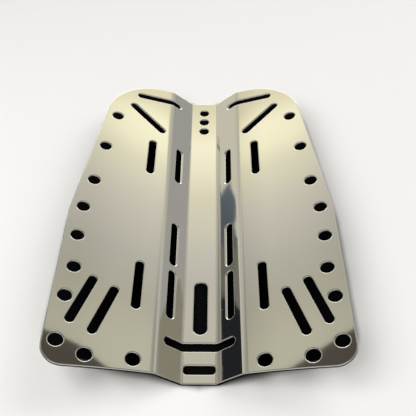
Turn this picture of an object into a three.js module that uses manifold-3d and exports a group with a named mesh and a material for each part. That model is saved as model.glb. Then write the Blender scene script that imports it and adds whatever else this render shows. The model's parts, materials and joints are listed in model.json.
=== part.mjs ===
// Steel backplate of a diver's wing-type buoyancy compensator. One sheet is cut flat, then folded
// along four lines into a shallow channel with a wing on each side.
// Millimetres. The plate rests on its channel floor: +Z is towards the diver's back, +Y towards the
// shoulders, and +X is across, to the right when looking from the bottom edge to the shoulders.
// The origin is under the middle of the floor, at the centre of the plate's footprint.
import Module from 'manifold-3d';
import * as THREE from 'three';
import { mergeVertices } from 'three/addons/utils/BufferGeometryUtils.js';

const wasm = await Module();
wasm.setup();

// Sheet and folds. Widths are measured along the middle of the sheet, between the fold lines.
const sheet = 3;
const floorWidth = 29.6;
const wallWidth = 28.6;
const wallAngle = THREE.MathUtils.degToRad(38); // wall above the floor
const wingAngle = THREE.MathUtils.degToRad(15.4); // wing above the floor
const foldRadii = { floor: 3, wing: 13.5 }; // on the inside of each fold
const foldFacets = 4;

// Blank. Every place on it is [distance from the centre line, distance from mid-length].
const halfLength = 194;
const halfWidth = 133.5;
const shoulder = { corner: 108.2, radius: 62 };
const waist = { height: -25, radius: 40 };
const bottomCornerRadius = 18;
const bottomArch = { radius: 1240, rise: 12.1 }; // rise from the sharp corners to the sharp middle

// Webbing slots on each half: centre, angle from the cross direction in degrees, and length.
const slotWidth = 8;
const sideSlots = [
  { at: [57.8, 173], turn: 0, length: 53 }, // shoulder, over the wing fold
  { at: [69.9, 134], turn: 45.5, length: 56.5 }, // shoulder, slanted
  { at: [61.4, 69.5], turn: 90, length: 53 },
  { at: [30, 69.5], turn: 90, length: 53 }, // three in the channel wall
  { at: [30, -43.5], turn: 90, length: 53 },
  { at: [30, -103.5], turn: 90, length: 53 },
  { at: [61.7, -103.5], turn: 90, length: 53 },
  { at: [88.2, -136], turn: -72.7, length: 53.5 }, // waist belt, a slanted pair
  { at: [107.7, -128.3], turn: -72.7, length: 53.5 },
];

// Accessory holes along each half's edge.
const sideHoleDiameter = 12.2;
const sideHoles = [
  [103.1, 126.2], [110.4, 71.6], [115.6, 17.1], [121, -21.8], [121.2, -58.9],
  [118.9, -96], [121.8, -127.9], [122.1, -172], [97.9, -181.6], [59.5, -179.3],
];

// On the centre line: tank bolt holes and slot, crotch strap slot across the channel, small slot.
const boltHoleDiameter = 10.6;
const boltHoles = [175.2, 158, 140.8];
const boltSlot = { at: [0, -112], turn: 90, length: 57, width: 12 };
const crotchSlot = { at: [0, -153.7], turn: 0, length: 68.5 };
const bottomSlot = { at: [0, -175.5], size: [26.4, 8.4], corner: 3 };

const segments = { hole: 20, quarterTurn: 4, waist: 2, outline: 10 };
const closest = 0.01; // outline points nearer to each other than this are joined
const pastEdge = 1; // how far the outermost strip reaches beyond the blank
const roundTo = { share: 1e-6, place: 1 / 8192 };

// Closed outline through filleted corners, each [across, along, radius, steps], anticlockwise.
function filletedOutline(corners) {
  const points = [];
  corners.forEach(([x, y, radius, steps], i) => {
    const corner = new THREE.Vector2(x, y);
    const before = new THREE.Vector2(...corners.at(i - 1)).sub(corner).normalize();
    const after = new THREE.Vector2(...corners[(i + 1) % corners.length]).sub(corner).normalize();
    const half = Math.acos(before.dot(after)) / 2;
    const middle = before.clone().add(after).normalize();
    const centre = middle.clone().multiplyScalar(radius / Math.sin(half)).add(corner);
    const start = before.clone().multiplyScalar(radius / Math.tan(half)).add(corner).sub(centre);
    const end = after.clone().multiplyScalar(radius / Math.tan(half)).add(corner).sub(centre);
    const sweep = Math.atan2(start.cross(end), start.dot(end));
    for (let step = 0; step <= steps; step += 1) {
      const turn = (sweep * step) / steps;
      points.push(start.clone().rotateAround(new THREE.Vector2(), turn).add(centre));
    }
  });
  return points.filter((point, i) => point.distanceTo(points.at(i - 1)) > closest);
}

function roundHole([x, y], diameter) {
  const points = [];
  for (let i = 0; i < segments.hole; i += 1) {
    const turn = (2 * Math.PI * (i + 0.5)) / segments.hole;
    points.push(new THREE.Vector2(x + (diameter / 2) * Math.cos(turn), y + (diameter / 2) * Math.sin(turn)));
  }
  return points;
}

function roundedBox([x, y], [length, width], radius, degrees = 0) {
  const corners = [[1, 1], [-1, 1], [-1, -1], [1, -1]].map(
    ([across, along]) => [(across * length) / 2, (along * width) / 2, radius, segments.quarterTurn],
  );
  const centre = new THREE.Vector2(x, y);
  const turn = THREE.MathUtils.degToRad(degrees);
  return filletedOutline(corners).map((point) => point.rotateAround(new THREE.Vector2(), turn).add(centre));
}

function slot({ at, turn, length, width = slotWidth }) {
  return roundedBox(at, [length, width], width / 2, turn);
}

const mirrored = (points) => points.map((point) => new THREE.Vector2(-point.x, point.y)).reverse();

// The blank: a flat sheet, half its thickness each side of z = 0.
function cutBlank() {
  const slope = bottomArch.rise / halfWidth;
  const bottom = -halfLength - bottomCornerRadius * (slope + Math.hypot(1, slope) - 1);
  const rightSide = [
    [halfWidth, bottom, bottomCornerRadius, segments.outline],
    [halfWidth, waist.height, waist.radius, segments.waist],
    [shoulder.corner, halfLength, shoulder.radius, segments.outline],
  ];
  const leftSide = rightSide.map(([x, ...rest]) => [-x, ...rest]).reverse();
  const arch = [0, bottom + bottomArch.rise, bottomArch.radius, 2 * segments.outline];
  const blank = new THREE.Shape(filletedOutline([arch, ...rightSide, ...leftSide]));
  const half = [...sideSlots.map(slot), ...sideHoles.map((at) => roundHole(at, sideHoleDiameter))];
  const middle = [
    ...boltHoles.map((height) => roundHole([0, height], boltHoleDiameter)),
    slot(boltSlot),
    slot(crotchSlot),
    roundedBox(bottomSlot.at, bottomSlot.size, bottomSlot.corner),
  ];
  for (const opening of [...half, ...half.map(mirrored), ...middle]) {
    blank.holes.push(new THREE.Path(opening));
  }
  const geometry = new THREE.ExtrudeGeometry(blank, { depth: sheet, bevelEnabled: false });
  return solidOf(geometry.translate(0, 0, -sheet / 2));
}

function solidOf(geometry) {
  geometry.deleteAttribute('normal');
  geometry.deleteAttribute('uv');
  const merged = mergeVertices(geometry);
  const vertProperties = new Float32Array(merged.getAttribute('position').array);
  const triVerts = new Uint32Array(merged.index.array);
  return new wasm.Manifold(new wasm.Mesh({ numProp: 3, vertProperties, triVerts }));
}

// The folded section of one half, walked out from the centre line: each station has its distance
// along the blank, its place and its slope.
function foldStations() {
  const stations = [{ reach: 0, x: 0, z: sheet / 2, slope: 0 }];
  const walk = (reach, chord, turn) => {
    const last = stations.at(-1);
    const heading = last.slope + turn / 2;
    stations.push({
      reach: last.reach + reach,
      x: last.x + chord * Math.cos(heading),
      z: last.z + chord * Math.sin(heading),
      slope: last.slope + turn,
    });
  };
  const middle = (inside) => inside + sheet / 2;
  const setback = (angle, inside) => middle(inside) * Math.tan(Math.abs(angle) / 2);
  const fold = (angle, inside) => {
    const radius = middle(inside);
    const turn = angle / foldFacets;
    const chord = 2 * radius * Math.sin(Math.abs(turn) / 2);
    for (let i = 0; i < foldFacets; i += 1) walk(radius * Math.abs(turn), chord, turn);
  };
  const straight = (length) => walk(length, length, 0);
  const relief = wingAngle - wallAngle;
  const floorSetback = setback(wallAngle, foldRadii.floor);
  straight(floorWidth / 2 - floorSetback);
  fold(wallAngle, foldRadii.floor);
  straight(wallWidth - floorSetback - setback(relief, foldRadii.wing));
  fold(relief, foldRadii.wing);
  straight(halfWidth - stations.at(-1).reach + pastEdge);
  return stations;
}

// The strip of the blank between two stations, on the side where x has the sign of side.
function cutStrip(blank, from, to, side) {
  const box = new THREE.BoxGeometry(2, 4 * halfLength, 4 * sheet);
  const corners = box.getAttribute('position');
  for (let i = 0; i < corners.count; i += 1) {
    corners.setX(i, side * (corners.getX(i) * side < 0 ? from.reach : to.reach));
  }
  return blank.intersect(solidOf(box));
}

// Moves a strip to its place in the folded section. Rounding to a fine binary step gives
// neighbouring strips the same numbers along their shared line.
function foldStrip(strip, from, to, side) {
  const round = (value, step) => Math.round(value / step) * step;
  const place = ({ x, z, slope }, height) => (
    new THREE.Vector2(x - height * Math.sin(slope), z + height * Math.cos(slope))
  );
  const { vertProperties, triVerts } = strip.getMesh();
  for (let i = 0; i < vertProperties.length; i += 3) {
    const [across, along, depth] = vertProperties.subarray(i, i + 3);
    const share = round((Math.abs(across) - from.reach) / (to.reach - from.reach), roundTo.share);
    const height = (Math.sign(depth) * sheet) / 2;
    const { x, y: up } = place(from, height).lerp(place(to, height), share);
    vertProperties.set([side * x, along, up].map((value) => round(value, roundTo.place)), i);
  }
  return new wasm.Manifold(new wasm.Mesh({ numProp: 3, vertProperties, triVerts }));
}

function foldedPlate() {
  const blank = cutBlank();
  const stations = foldStations();
  const strips = [1, -1].flatMap((side) => stations.slice(1).map((to, i) => (
    foldStrip(cutStrip(blank, stations[i], to, side), stations[i], to, side)
  )));
  const { vertProperties, triVerts } = strips.reduce((plate, strip) => plate.add(strip)).getMesh();
  const geometry = new THREE.BufferGeometry();
  geometry.setAttribute('position', new THREE.BufferAttribute(vertProperties, 3));
  geometry.setIndex(new THREE.BufferAttribute(triVerts, 1));
  geometry.computeVertexNormals();
  return geometry;
}

const polishedSteel = new THREE.MeshStandardMaterial({ color: 0xc9c6bb, metalness: 1, roughness: 0.08 });
polishedSteel.name = 'polished_steel';

const backplate = new THREE.Mesh(foldedPlate(), polishedSteel);
backplate.name = 'backplate';

const group = new THREE.Group();
group.add(backplate);
export default group;
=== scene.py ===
import json
import math

import bpy
from mathutils import Matrix, Vector

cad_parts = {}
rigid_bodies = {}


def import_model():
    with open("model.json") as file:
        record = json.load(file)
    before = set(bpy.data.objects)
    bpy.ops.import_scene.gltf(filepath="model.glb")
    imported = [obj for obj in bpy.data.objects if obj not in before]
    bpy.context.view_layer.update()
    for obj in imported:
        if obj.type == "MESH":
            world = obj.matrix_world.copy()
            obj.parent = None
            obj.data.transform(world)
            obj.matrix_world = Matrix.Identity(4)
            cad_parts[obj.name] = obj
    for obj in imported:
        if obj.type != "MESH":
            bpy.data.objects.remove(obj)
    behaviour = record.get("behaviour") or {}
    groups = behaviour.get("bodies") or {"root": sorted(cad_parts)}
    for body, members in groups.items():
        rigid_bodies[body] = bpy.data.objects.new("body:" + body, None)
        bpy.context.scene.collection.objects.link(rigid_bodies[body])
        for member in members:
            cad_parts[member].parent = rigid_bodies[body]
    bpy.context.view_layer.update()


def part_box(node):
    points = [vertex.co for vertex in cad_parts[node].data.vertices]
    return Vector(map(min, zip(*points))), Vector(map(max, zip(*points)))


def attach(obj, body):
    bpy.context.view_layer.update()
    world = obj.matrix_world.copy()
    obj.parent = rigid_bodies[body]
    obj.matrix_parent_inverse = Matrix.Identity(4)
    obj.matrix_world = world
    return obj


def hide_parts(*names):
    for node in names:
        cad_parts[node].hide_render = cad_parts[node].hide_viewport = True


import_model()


def deselectAll():
    for thing in bpy.context.scene.objects:
        thing.select_set(False)
    bpy.context.view_layer.objects.active = None


def makeActive(thing):
    deselectAll()
    thing.select_set(True)
    bpy.context.view_layer.objects.active = thing


def applyModifier(thing, kind, **settings):
    makeActive(thing)
    modifier = thing.modifiers.new(kind.title(), kind)
    for name, value in settings.items():
        setattr(modifier, name, value)
    bpy.ops.object.modifier_apply(modifier=modifier.name)


def bakePlace(thing):
    makeActive(thing)
    bpy.ops.object.transform_apply(location=True, rotation=True, scale=True)


# selects the vertices of the active piece that pass the test, and leaves it in edit mode
def pickVertices(thing, test):
    bpy.ops.object.mode_set(mode="EDIT")
    bpy.ops.mesh.select_mode(type="VERT")
    bpy.ops.mesh.select_all(action="DESELECT")
    bpy.ops.object.mode_set(mode="OBJECT")
    for vertex in thing.data.vertices:
        vertex.select = test(vertex.co)
    bpy.ops.object.mode_set(mode="EDIT")


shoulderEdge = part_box("backplate")[1].y
plate = {
    "sheet": 0.003,
    "length": shoulderEdge,  # from mid-length to the shoulder edge
    "halfWidth": 0.1335,
    "shoulderCorner": 0.1082, "shoulderRadius": 0.062, "shoulderSteps": 20,
    "waistHeight": -0.025, "waistRadius": 0.04, "waistSteps": 4,
    "bottomCornerRadius": 0.018, "bottomCornerSteps": 16,
    "archRise": 0.0121, "archRadius": 1.24, "archSteps": 24,
    "floorWidth": 0.0296, "wallWidth": 0.0286,  # along the middle of the sheet
    "wallAngle": math.radians(38), "wingAngle": math.radians(15.4),
    "floorFoldRadius": 0.0045, "wingFoldRadius": 0.015,  # at the middle of the sheet
    "foldFacets": 8,
    "rimRadius": 0.0011, "rimSteps": 4, "rimAngle": math.radians(50),
    "cutterSides": 50,  # 25 on each half, so that a slot's long sides stay straight
    "cutterDepth": 0.02,
    "pastCentre": 0.02,  # the half blank runs on past the centre line, and the mirror trims it
    "startSize": 0.001,  # of the square that is merged into the outline's first vertex
}
# how near counts as touching
tolerances = {"cut": 1e-7, "foldLine": 2e-6, "merge": 1e-6}

# slots on one half: [across, along, degrees from the cross direction, length]
webbingSlots = {
    "width": 0.008,
    "places": [
        (0.0578, 0.173, 0, 0.053), (0.0699, 0.134, 45.5, 0.0565),
        (0.0614, 0.0695, 90, 0.053), (0.030, 0.0695, 90, 0.053),
        (0.030, -0.0435, 90, 0.053), (0.030, -0.1035, 90, 0.053),
        (0.0617, -0.1035, 90, 0.053),
        (0.0882, -0.136, -72.7, 0.0535), (0.1077, -0.1283, -72.7, 0.0535),
        (0, -0.1537, 0, 0.0685),  # crotch strap, across the channel
    ],
}
edgeHoles = {
    "diameter": 0.0122,
    "places": [
        (0.1031, 0.1262), (0.1104, 0.0716), (0.1156, 0.0171), (0.121, -0.0218), (0.1212, -0.0589),
        (0.1189, -0.096), (0.1218, -0.1279), (0.1221, -0.172), (0.0979, -0.1816), (0.0595, -0.1793),
    ],
}
tankBolts = {
    "diameter": 0.0106, "heights": (0.1752, 0.158, 0.1408),
    "slotHeight": -0.112, "slotLength": 0.057, "slotWidth": 0.012,
}
bottomSlot = {
    "height": -0.1755, "length": 0.0264, "width": 0.0084, "corner": 0.003, "cornerSteps": 6,
}


# where a rounded corner starts, its centre and its turn, clockwise turns being negative
def roundCorner(before, corner, after, radius):
    arrive = (corner - before).normalized()
    leave = (after - corner).normalized()
    turn = -arrive.angle_signed(leave)
    side = Vector((-arrive.y, arrive.x)) * math.copysign(radius, turn)
    start = corner - arrive * radius * math.tan(abs(turn) / 2)
    return start, start + side, turn


# draws the outline of the right half clockwise, by extruding and spinning one vertex
def drawHalfBlank():
    top = plate["length"]
    archSlope = plate["archRise"] / plate["halfWidth"]
    cornerDrop = plate["bottomCornerRadius"] * (archSlope + math.hypot(1, archSlope) - 1)
    bottom = -top - cornerDrop
    corners = [
        ((plate["shoulderCorner"], top), plate["shoulderRadius"], plate["shoulderSteps"]),
        ((plate["halfWidth"], plate["waistHeight"]), plate["waistRadius"], plate["waistSteps"]),
        ((plate["halfWidth"], bottom), plate["bottomCornerRadius"], plate["bottomCornerSteps"]),
        ((0, bottom + plate["archRise"]), plate["archRadius"], plate["archSteps"]),
    ]
    here = Vector((-plate["pastCentre"], top))
    beyond = (-plate["halfWidth"], bottom)
    deselectAll()
    bpy.ops.mesh.primitive_plane_add(size=plate["startSize"], location=(here.x, here.y, 0))
    blank = bpy.context.active_object
    blank.name = "steelBackplate"
    bakePlace(blank)
    bpy.ops.object.mode_set(mode="EDIT")
    bpy.ops.mesh.select_all(action="SELECT")
    bpy.ops.mesh.merge(type="CENTER")
    for i, (corner, radius, steps) in enumerate(corners):
        after = corners[i + 1][0] if i + 1 < len(corners) else beyond
        arcStart, centre, turn = roundCorner(here, Vector(corner), Vector(after), radius)
        move = arcStart - here
        bpy.ops.mesh.extrude_region_move(TRANSFORM_OT_translate={"value": (move.x, move.y, 0)})
        bpy.ops.mesh.spin(
            steps=steps, angle=-turn, center=(centre.x, centre.y, 0), axis=(0, 0, 1),
            use_auto_merge=False,
        )
        here = centre + Matrix.Rotation(turn, 2) @ (arcStart - centre)
    return blank


def thickenBlank(blank):
    bpy.ops.mesh.select_all(action="SELECT")
    bpy.ops.mesh.edge_face_add()
    bpy.ops.mesh.extrude_region_move(TRANSFORM_OT_translate={"value": (0, 0, plate["sheet"])})
    bpy.ops.mesh.select_all(action="SELECT")
    bpy.ops.mesh.normals_make_consistent(inside=False)
    bpy.ops.object.mode_set(mode="OBJECT")


# a round cutter, or a slot cutter when it has a length: the two halves of a cylinder drawn apart
def addCutter(width, across, along, degrees=0, length=0):
    deselectAll()
    bpy.ops.mesh.primitive_cylinder_add(
        vertices=plate["cutterSides"], radius=width / 2, depth=plate["cutterDepth"],
    )
    cutter = bpy.context.active_object
    if length:
        for side in (1, -1):
            pickVertices(cutter, lambda place: place.y * side > 0)
            bpy.ops.transform.translate(value=(0, side * (length - width) / 2, 0))
            bpy.ops.object.mode_set(mode="OBJECT")
    cutter.rotation_euler = (0, 0, math.radians(degrees - 90))
    cutter.location = (across, along, 0)
    return cutter


def addBottomSlotCutter():
    deselectAll()
    size = (bottomSlot["length"], bottomSlot["width"], plate["cutterDepth"])
    bpy.ops.mesh.primitive_cube_add(size=1, scale=size)
    cutter = bpy.context.active_object
    bakePlace(cutter)
    bpy.ops.object.mode_set(mode="EDIT")
    bpy.ops.mesh.select_mode(type="EDGE")
    bpy.ops.mesh.select_all(action="DESELECT")
    bpy.ops.object.mode_set(mode="OBJECT")
    corners = cutter.data.vertices
    for edge in cutter.data.edges:
        first, last = (corners[i].co for i in edge.vertices)
        edge.select = abs(first.z - last.z) > plate["cutterDepth"] / 2
    bpy.ops.object.mode_set(mode="EDIT")
    bpy.ops.mesh.bevel(
        offset=bottomSlot["corner"], segments=bottomSlot["cornerSteps"], affect="EDGES",
    )
    bpy.ops.object.mode_set(mode="OBJECT")
    cutter.location = (0, bottomSlot["height"], 0)
    return cutter


def cutOpenings(blank):
    cutters = [addBottomSlotCutter()]
    for across, along, degrees, length in webbingSlots["places"]:
        cutters.append(addCutter(webbingSlots["width"], across, along, degrees, length))
    for across, along in edgeHoles["places"]:
        cutters.append(addCutter(edgeHoles["diameter"], across, along))
    for height in tankBolts["heights"]:
        cutters.append(addCutter(tankBolts["diameter"], 0, height))
    slot = (tankBolts["slotWidth"], 0, tankBolts["slotHeight"], 90, tankBolts["slotLength"])
    cutters.append(addCutter(*slot))
    makeActive(cutters[0])
    for cutter in cutters:
        cutter.select_set(True)
    bpy.ops.object.join()
    joined = bpy.context.active_object
    applyModifier(blank, "BOOLEAN", object=joined, operation="DIFFERENCE", solver="EXACT")
    bpy.data.objects.remove(joined)


# where each fold's facets meet on the flat blank: [distance from the centre line, turn there]
def foldLines():
    facets = plate["foldFacets"]
    lines = []
    reach = 0
    for straight, turn, radius in (
        (plate["floorWidth"] / 2, plate["wallAngle"], plate["floorFoldRadius"]),
        (plate["wallWidth"], plate["wingAngle"] - plate["wallAngle"], plate["wingFoldRadius"]),
    ):
        setback = radius * math.tan(abs(turn) / 2)
        reach += straight - setback
        for i in range(facets + 1):
            share = 0.5 if i in (0, facets) else 1
            lines.append((reach + i * radius * abs(turn) / facets, share * turn / facets))
        reach += radius * abs(turn) - setback
    return lines


# scores the blank along every fold line, then turns what lies beyond each, the outermost first
def foldBlank(blank):
    lines = foldLines()
    makeActive(blank)
    bpy.ops.object.mode_set(mode="EDIT")
    for reach, _ in lines:
        bpy.ops.mesh.select_all(action="SELECT")
        bpy.ops.mesh.bisect(
            plane_co=(reach, 0, 0), plane_no=(1, 0, 0), threshold=tolerances["cut"],
        )
    bpy.ops.object.mode_set(mode="OBJECT")
    middle = plate["sheet"] / 2
    nearLine = tolerances["foldLine"]
    for reach, turn in reversed(lines):
        for share, test in (
            (1, lambda place: place.x > reach + nearLine),
            (0.5, lambda place: abs(place.x - reach) <= nearLine),
        ):
            pickVertices(blank, test)
            bpy.ops.transform.rotate(
                value=turn * share, orient_axis="Y", center_override=(reach, 0, middle),
            )
            bpy.ops.object.mode_set(mode="OBJECT")


def finishPlate(blank):
    applyModifier(
        blank, "MIRROR", use_axis=(True, False, False), use_bisect_axis=(True, False, False),
        bisect_threshold=tolerances["cut"], merge_threshold=tolerances["foldLine"],
    )
    bpy.ops.object.mode_set(mode="EDIT")
    bpy.ops.mesh.select_all(action="SELECT")
    bpy.ops.mesh.remove_doubles(threshold=tolerances["merge"])
    bpy.ops.mesh.normals_make_consistent(inside=False)
    bpy.ops.object.mode_set(mode="OBJECT")
    bpy.ops.object.shade_smooth()
    applyModifier(blank, "WEIGHTED_NORMAL", mode="FACE_AREA", weight=100)


steelPlate = drawHalfBlank()
thickenBlank(steelPlate)
cutOpenings(steelPlate)
print("flat blank cut,", len(steelPlate.data.vertices), "vertices")
applyModifier(
    steelPlate, "BEVEL", width=plate["rimRadius"], segments=plate["rimSteps"], limit_method="ANGLE",
    angle_limit=plate["rimAngle"], use_clamp_overlap=False, loop_slide=False,
)
foldBlank(steelPlate)
finishPlate(steelPlate)
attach(steelPlate, "root")
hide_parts("backplate")
print("plate folded,", len(steelPlate.data.polygons), "faces")


# a wire from one socket, so that patterns can be written as sums and products
class Wire:
    def __init__(self, tree, socket=None):
        self.tree = tree
        self.socket = socket

    # adds any node: first its settings, then its inputs; gives the wire from the named output
    def node(self, kind, settings=None, inputs=None, output=0):
        made = self.tree.nodes.new(kind)
        settings = dict(settings or {})
        stops = settings.pop("stops", None)
        for name, value in settings.items():
            setattr(made, name, value)
        if stops:
            ramp = made.color_ramp.elements
            ramp[0].position, ramp[1].position = stops[0][0], stops[-1][0]
            for at, _ in stops[1:-1]:
                ramp.new(at)
            for mark, (at, tint) in zip(ramp, stops):
                mark.color = (*tint, 1)
        for name, value in (inputs or {}).items():
            if isinstance(value, Wire):
                self.tree.links.new(value.socket, made.inputs[name])
            else:
                made.inputs[name].default_value = value
        return Wire(self.tree, made.outputs[output] if made.outputs else None)

    def finish(self):
        self.node("ShaderNodeOutputMaterial", {}, {"Surface": self})

    def maths(self, operation, first, second):
        return self.node("ShaderNodeMath", {"operation": operation}, {0: first, 1: second})

    def __add__(self, other):
        return self.maths("ADD", self, other)

    def __sub__(self, other):
        return self.maths("SUBTRACT", self, other)

    def __rsub__(self, other):
        return self.maths("SUBTRACT", other, self)

    def __mul__(self, other):
        return self.maths("MULTIPLY", self, other)

    __radd__ = __add__
    __rmul__ = __mul__


def newMaterial(name):
    material = bpy.data.materials.new(name)
    material.use_nodes = True
    tree = material.node_tree
    tree.nodes.clear()
    return material, Wire(tree)


def useMaterial(thing, material):
    thing.data.materials.clear()
    thing.data.materials.append(material)


steel = {
    "bright": (0.80, 0.79, 0.755), "deep": (0.765, 0.765, 0.74),
    "roughness": 0.015, "hazeRoughness": 0.03, "grainRoughness": 0.02,
    "grainStretch": 0.012,  # draws the grain out into fine lines along the plate
    "grain": {"Scale": 1400, "Detail": 3.0, "Roughness": 0.6},
    "haze": {"Scale": 14, "Detail": 4.0, "Roughness": 0.55},
    "wave": {"Scale": 11, "Detail": 1.0, "Roughness": 0.4},
    "waveDepth": 0.00035, "waveStrength": 0.12,
    "grainDepth": 0.00001, "grainStrength": 0.25,
}


def polishedSteel():
    material, wire = newMaterial("polishedSteel")
    place = wire.node("ShaderNodeTexCoord", output="Object")
    lengthwise = wire.node(
        "ShaderNodeMapping", {}, {"Vector": place, "Scale": (1, steel["grainStretch"], 1)},
    )
    grain = wire.node("ShaderNodeTexNoise", {}, {"Vector": lengthwise, **steel["grain"]})
    haze = wire.node("ShaderNodeTexNoise", {}, {"Vector": place, **steel["haze"]})
    wave = wire.node("ShaderNodeTexNoise", {}, {"Vector": place, **steel["wave"]})
    colour = wire.node(
        "ShaderNodeMix", {"data_type": "RGBA"},
        {0: haze, 6: (*steel["deep"], 1), 7: (*steel["bright"], 1)}, output=2,
    )
    roughness = steel["roughness"] + haze * steel["hazeRoughness"] + grain * steel["grainRoughness"]
    ripple = wire.node(
        "ShaderNodeBump", {},
        {"Height": wave, "Distance": steel["waveDepth"], "Strength": steel["waveStrength"]},
    )
    brushed = wire.node(
        "ShaderNodeBump", {},
        {"Height": grain, "Distance": steel["grainDepth"], "Strength": steel["grainStrength"],
         "Normal": ripple},
    )
    surface = wire.node(
        "ShaderNodeBsdfPrincipled", {},
        {"Base Color": colour, "Metallic": 1.0, "Roughness": roughness, "Normal": brushed},
    )
    surface.finish()
    return material


useMaterial(steelPlate, polishedSteel())
print("polished steel on the plate")


# The floor is pale, with a nearly black patch of painted shade under the plate, so that the
# openings look dark from above. The painted shade shows from low down, and it is no cast shadow.
floor = {
    "size": 8, "gap": 0.0004, "roughness": 0.9,
    "pale": (0.80, 0.79, 0.77), "paintedShade": (0.003, 0.003, 0.0035),
    # where the painted shade starts to fade and where it ends, across each of its edges
    "side": (0.131, 0.141), "taper": 0.115,
    "shoulder": (0.188, 0.196), "shoulderLift": 0.45,
    "corner": (0.214, 0.226), "cornerSlope": 0.6,
    "foot": (-0.184, -0.196), "footLift": 0.22,
    "heel": (0.2185, 0.228), "heelSlope": 0.6,
}


# 1 as far as the first place, falling smoothly to 0 at the second
def fade(wire, value, places):
    start, end = places
    return wire.node(
        "ShaderNodeMapRange", {"interpolation_type": "SMOOTHSTEP"},
        {"Value": value, "From Min": start, "From Max": end, "To Min": 1.0, "To Max": 0.0},
    )


def floorMaterial():
    material, wire = newMaterial("paleFloor")
    place = wire.node("ShaderNodeTexCoord", output="Object")
    across = wire.node("ShaderNodeSeparateXYZ", {}, {0: place}, output="X")
    across = wire.node("ShaderNodeMath", {"operation": "ABSOLUTE"}, {0: across})
    along = wire.node("ShaderNodeSeparateXYZ", {}, {0: place}, output="Y")
    upper = wire.node("ShaderNodeMath", {"operation": "MAXIMUM"}, {0: along, 1: 0.0})
    # the mask of the painted shade under the plate: 1 where it is full, fading to 0 across each
    # edge
    paintedShade = fade(wire, across + upper * floor["taper"], floor["side"])
    paintedShade = paintedShade * fade(wire, along - across * floor["shoulderLift"], floor["shoulder"])
    paintedShade = paintedShade * fade(wire, across + along * floor["cornerSlope"], floor["corner"])
    paintedShade = paintedShade * fade(wire, along - across * floor["footLift"], floor["foot"])
    paintedShade = paintedShade * fade(wire, across - along * floor["heelSlope"], floor["heel"])
    # the floor's colour: pale, and nearly black where the shade is painted
    colour = wire.node(
        "ShaderNodeMix", {"data_type": "RGBA"},
        {0: paintedShade, 6: (*floor["pale"], 1), 7: (*floor["paintedShade"], 1)}, output=2,
    )
    wire.node("ShaderNodeBsdfPrincipled", {}, {
        "Base Color": colour, "Roughness": floor["roughness"], "Specular IOR Level": 0.0,
    }).finish()
    return material


deselectAll()
bpy.ops.mesh.primitive_plane_add(size=floor["size"])
paleFloor = bpy.context.active_object
paleFloor.name = "paleFloor"
paleFloor.location.z = -floor["gap"]
paleFloor.visible_glossy = False
useMaterial(paleFloor, floorMaterial())


# colours that run along an axis, each stop being a place in metres and its colour
def colourRun(wire, axis, stops):
    first, last = stops[0][0], stops[-1][0]
    place = wire.node("ShaderNodeTexCoord", output="Object")
    reach = wire.node(
        "ShaderNodeVectorMath", {"operation": "DOT_PRODUCT"}, {0: place, 1: axis}, output="Value",
    )
    share = (reach - first) * (1 / (last - first))
    shares = [((at - first) / (last - first), tint) for at, tint in stops]
    return wire.node("ShaderNodeValToRGB", {"stops": shares}, {"Fac": share})


# a card that only the polished steel sees, drawn through its corners: one plain colour, or a run of
# colours along an axis, which may be toned by another run along X
def addCard(name, corners, plain=None, run=None, axis=(0, 1, 0), tones=None):
    mesh = bpy.data.meshes.new(name)
    mesh.from_pydata(corners, [], [range(len(corners))])
    card = bpy.data.objects.new(name, mesh)
    bpy.context.scene.collection.objects.link(card)
    material, wire = newMaterial(name)
    colour = colourRun(wire, axis, run) if run else (*plain, 1)
    if tones:
        colour = wire.node(
            "ShaderNodeMix", {"data_type": "RGBA", "blend_type": "MULTIPLY"},
            {0: 1.0, 6: colour, 7: colourRun(wire, (1, 0, 0), tones)}, output=2,
        )
    wire.node("ShaderNodeEmission", {}, {"Color": colour}).finish()
    useMaterial(card, material)
    card.visible_camera = False
    card.visible_diffuse = False
    card.visible_shadow = False


# corners of a card that lies level, from its height and its extents along X and Y
def layLevel(height, left, right, front, back):
    return [
        (left, front, height), (right, front, height),
        (right, back, height), (left, back, height),
    ]


# corners of a card that stands across Y, from its place and its extents along X and Z
def standAcross(place, halfWidth, low, high):
    return [
        (-halfWidth, place, low), (halfWidth, place, low),
        (halfWidth, place, high), (-halfWidth, place, high),
    ]


# corners of a card that stands at a distance, 45 degrees to the left or right of +Y, from an
# outline of places along the card and their heights
def standAside(side, distance, outline):
    return [
        (side * diagonal * (distance + reach), diagonal * (distance - reach), height)
        for reach, height in outline
    ]


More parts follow.
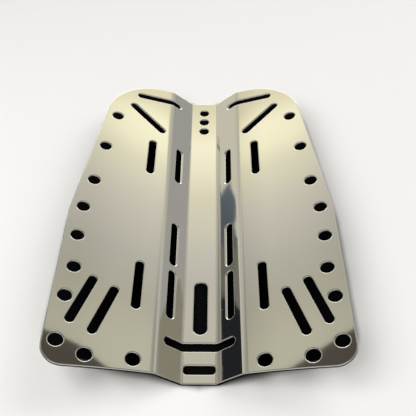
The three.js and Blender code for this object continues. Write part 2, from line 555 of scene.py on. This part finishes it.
diagonal = math.sqrt(0.5)
upwards = (0, 0, 1)
darkBrown = (0.087, 0.076, 0.061)
floorGrey = (0.62, 0.61, 0.59)
steelOnlyCards = {
    # overhead: brightest behind the shoulders, dimmer towards the front and to each side
    "overheadCard": {
        "corners": layLevel(1.5, -2.6, 2.6, 0.45, 4.2),
        "run": [
            (0.45, (0.58, 0.56, 0.44)), (0.93, (0.57, 0.55, 0.435)), (1.12, (0.52, 0.49, 0.40)),
            (1.3, (0.55, 0.535, 0.465)), (1.45, (0.63, 0.595, 0.52)), (1.63, (0.72, 0.68, 0.58)),
            (1.9, (0.92, 0.88, 0.66)), (2.05, (1.12, 1.07, 0.77)), (2.2, (1.16, 1.11, 0.81)),
            (2.4, (0.92, 0.85, 0.60)), (4.2, (0.7, 0.66, 0.52)),
        ],
        "tones": [
            (-2.6, (0.80, 0.80, 0.81)), (-1.6, (0.80, 0.80, 0.81)), (-1.2, (0.72, 0.72, 0.73)),
            (-0.98, (0.62, 0.62, 0.63)), (-0.84, (0.66, 0.66, 0.67)), (-0.7, (0.90, 0.90, 0.90)),
            (-0.6, (1.01, 1.01, 1.01)), (-0.45, (0.98, 0.98, 0.98)), (-0.3, (0.89, 0.89, 0.89)),
            (0.3, (0.89, 0.89, 0.89)), (0.45, (1, 1, 1)), (0.6, (1.04, 1.04, 1.04)),
            (0.72, (0.97, 0.97, 0.97)), (0.9, (0.86, 0.86, 0.87)), (1.2, (0.70, 0.71, 0.74)),
            (2.6, (0.60, 0.61, 0.64)),
        ],
    },
    "overheadMiddle": {
        "corners": layLevel(1.49, -0.16, 0.16, 0.4, 3.2),
        "run": [
            (0.4, (0.60, 0.58, 0.46)), (1.12, (0.63, 0.59, 0.52)), (1.25, (0.67, 0.65, 0.57)),
            (1.44, (0.79, 0.75, 0.60)), (1.58, (0.86, 0.81, 0.62)), (1.77, (1.08, 1.02, 0.78)),
            (1.93, (1.16, 1.11, 0.83)), (2.07, (1.04, 0.97, 0.71)), (2.25, (0.88, 0.83, 0.58)),
            (3.2, (0.8, 0.75, 0.55)),
        ],
    },
    # darker patches before it, to each side
    "rightDarkCard": {
        "corners": [
            (0.12, 0.1, 1.45), (0.12, 0.825, 1.45), (0.35, 0.797, 1.45), (0.45, 0.75, 1.45),
            (0.62, 0.70, 1.45), (0.62, 0.1, 1.45),
        ],
        "plain": darkBrown,
    },
    "leftDarkCard": {
        "corners": [
            (-0.12, 0.1, 1.45), (-0.12, 0.89, 1.45), (-0.36, 0.832, 1.45), (-0.53, 0.775, 1.45),
            (-0.62, 0.745, 1.45), (-0.62, 0.1, 1.45),
        ],
        "plain": darkBrown,
    },
    # low behind the shoulders: bright in the middle, pale to the left and grey to the right
    "backCard": {"corners": standAcross(2.4, 1.5, -0.2, 0.9), "plain": (2.4, 2.35, 2.1)},
    "leftBackCard": {
        "corners": standAside(-1, 2.0, [(-0.75, -0.2), (3.0, -0.2), (3.0, 1.3), (-0.75, 1.3)]),
        "run": [(0.0, (0.68, 0.65, 0.53)), (0.6, (0.66, 0.63, 0.52)), (1.3, (0.50, 0.49, 0.44))],
        "axis": upwards,
    },
    "rightBackCard": {
        "corners": standAside(1, 2.0, [(-0.75, -0.2), (3.0, -0.2), (3.0, 1.3), (-0.75, 1.3)]),
        "run": [
            (-0.8, (0.40, 0.39, 0.355)), (0.55, (0.40, 0.39, 0.36)), (0.64, (0.45, 0.44, 0.40)),
            (0.8, (0.51, 0.50, 0.44)), (1.3, (0.60, 0.585, 0.49)),
        ],
        "axis": (-0.2, 0.2, 1),
    },
    # below the level of the floor, where only the rounded rims see it
    "edgeCard": {
        "corners": standAcross(1.2, 2.4, -0.55, -0.06),
        "run": [
            (-2.4, (0.9, 0.88, 0.8)), (-0.95, (1.0, 0.98, 0.9)), (-0.75, (3.0, 2.95, 2.7)),
            (0.75, (3.0, 2.95, 2.7)), (0.95, (1.0, 0.98, 0.9)), (2.4, (0.9, 0.88, 0.8)),
        ],
        "axis": (1, 0, 0),
    },
    # before the bottom edge
    "frontCard": {
        "corners": standAcross(-2.2, 2.2, 0.3, 1.9),
        "run": [(0.3, (0.34, 0.34, 0.34)), (0.9, (0.75, 0.74, 0.70)), (1.9, (1.2, 1.18, 1.1))],
        "axis": upwards,
    },
    # the floor as the steel sees it: pale all round the plate, and open under it
    "floorRight": {"corners": layLevel(0, 0.2, 3, -3, 3), "plain": floorGrey},
    "floorLeft": {"corners": layLevel(0, -3, -0.2, -3, 3), "plain": floorGrey},
    "floorBehind": {"corners": layLevel(0, -0.2, 0.2, 0.3, 3), "plain": floorGrey},
    "floorBefore": {"corners": layLevel(0, -0.2, 0.2, -3, -0.3), "plain": floorGrey},
    # dark shapes low on the left, for the right wall of the channel, and a brown one behind them
    "leftShape": {
        "corners": standAside(-1, 1.0, [
            (0.5, 0.0), (-0.065, 0.0), (-0.068, 0.183), (-0.095, 0.19), (-0.118, 0.203),
            (-0.10, 0.207), (-0.078, 0.222), (-0.06, 0.228), (-0.025, 0.234), (-0.012, 0.232),
            (0.02, 0.243), (0.06, 0.25), (0.13, 0.256), (0.175, 0.262), (0.195, 0.275),
            (0.215, 0.31), (0.25, 0.35), (0.30, 0.39), (0.5, 0.44),
        ]),
        "run": [
            (-0.42, (0.017, 0.018, 0.021)), (-0.183, (0.017, 0.018, 0.021)),
            (-0.172, (0.12, 0.11, 0.09)), (-0.155, (0.16, 0.15, 0.125)),
            (-0.06, (0.17, 0.165, 0.135)), (-0.045, (0.12, 0.125, 0.13)),
            (0.02, (0.10, 0.115, 0.14)), (0.118, (0.14, 0.155, 0.185)),
        ],
        "axis": (diagonal, diagonal, 0),
    },
    "leftBrownShape": {
        "corners": standAside(-1, 1.02, [
            (0.0, 0.1), (0.5, 0.1), (0.5, 0.48), (0.30, 0.41), (0.20, 0.37), (0.14, 0.345),
            (0.10, 0.315), (0.06, 0.283), (0.02, 0.255),
        ]),
        "plain": (0.20, 0.185, 0.16),
    },
    # a brown-grey shape low on the right, for the left wall
    "rightShape": {
        "corners": standAside(1, 1.0, [
            (0.12, 0.268), (0.18, 0.27), (0.5, 0.285), (0.5, 0.40), (0.23, 0.345), (0.18, 0.312),
        ]),
        "plain": (0.28, 0.26, 0.195),
    },
}
for name, settings in steelOnlyCards.items():
    addCard(name, **settings)
print("floor and reflection cards placed")


# an even pale sky, dark below the horizon: tones from straight down, at 0, to straight up, at 1
sky = {
    "tones": [
        (0.0, (0.003, 0.003, 0.003)), (0.48, (0.006, 0.006, 0.006)),
        (0.52, (0.26, 0.255, 0.245)), (1.0, (0.22, 0.22, 0.215)),
    ],
}


def studioWorld():
    world = bpy.data.worlds.new("studio")
    world.use_nodes = True
    world.node_tree.nodes.clear()
    wire = Wire(world.node_tree)
    direction = wire.node("ShaderNodeTexCoord", output="Generated")
    height = wire.node("ShaderNodeSeparateXYZ", {}, {0: direction}, output="Z")
    colour = wire.node("ShaderNodeValToRGB", {"stops": sky["tones"]}, {"Fac": height * 0.5 + 0.5})
    background = wire.node("ShaderNodeBackground", {}, {"Color": colour})
    wire.node("ShaderNodeOutputWorld", {}, {"Surface": background})
    return world


bpy.context.scene.world = studioWorld()


def addAreaLight(name, place, size, watts):
    deselectAll()
    bpy.ops.object.light_add(type="AREA", location=place)
    lamp = bpy.context.active_object
    lamp.name = name
    lamp.data.shape = "SQUARE"
    lamp.data.size = size
    lamp.data.energy = watts
    lamp.rotation_euler = (-Vector(place)).to_track_quat("-Z", "Y").to_euler()
    lamp.visible_glossy = False


areaLights = {
    "keyLight": {"place": (-0.9, -0.7, 1.6), "size": 1.4, "watts": 34},
    "fillLight": {"place": (1.2, 0.8, 1.4), "size": 1.6, "watts": 22},
}
for name, settings in areaLights.items():
    addAreaLight(name, **settings)

# where the camera stands, and how far it is turned down, to the left and about its own axis
shot = {
    "place": (0.01182, -0.47735, 0.48747), "down": math.radians(44.56),
    "left": math.radians(0.73), "roll": math.radians(-0.34),
    "lens": 58.34, "sensor": 36, "nearest": 0.01,
}
deselectAll()
bpy.ops.object.camera_add(location=shot["place"])
camera = bpy.context.active_object
turn = Matrix.Rotation(shot["left"], 3, "Z") @ Matrix.Rotation(math.pi / 2 - shot["down"], 3, "X")
camera.rotation_euler = (turn @ Matrix.Rotation(shot["roll"], 3, "Z")).to_euler()
camera.data.lens = shot["lens"]
camera.data.sensor_width = shot["sensor"]
camera.data.clip_start = shot["nearest"]
bpy.context.scene.camera = camera
bpy.context.scene.view_settings.view_transform = "Standard"
print("lights and camera ready")
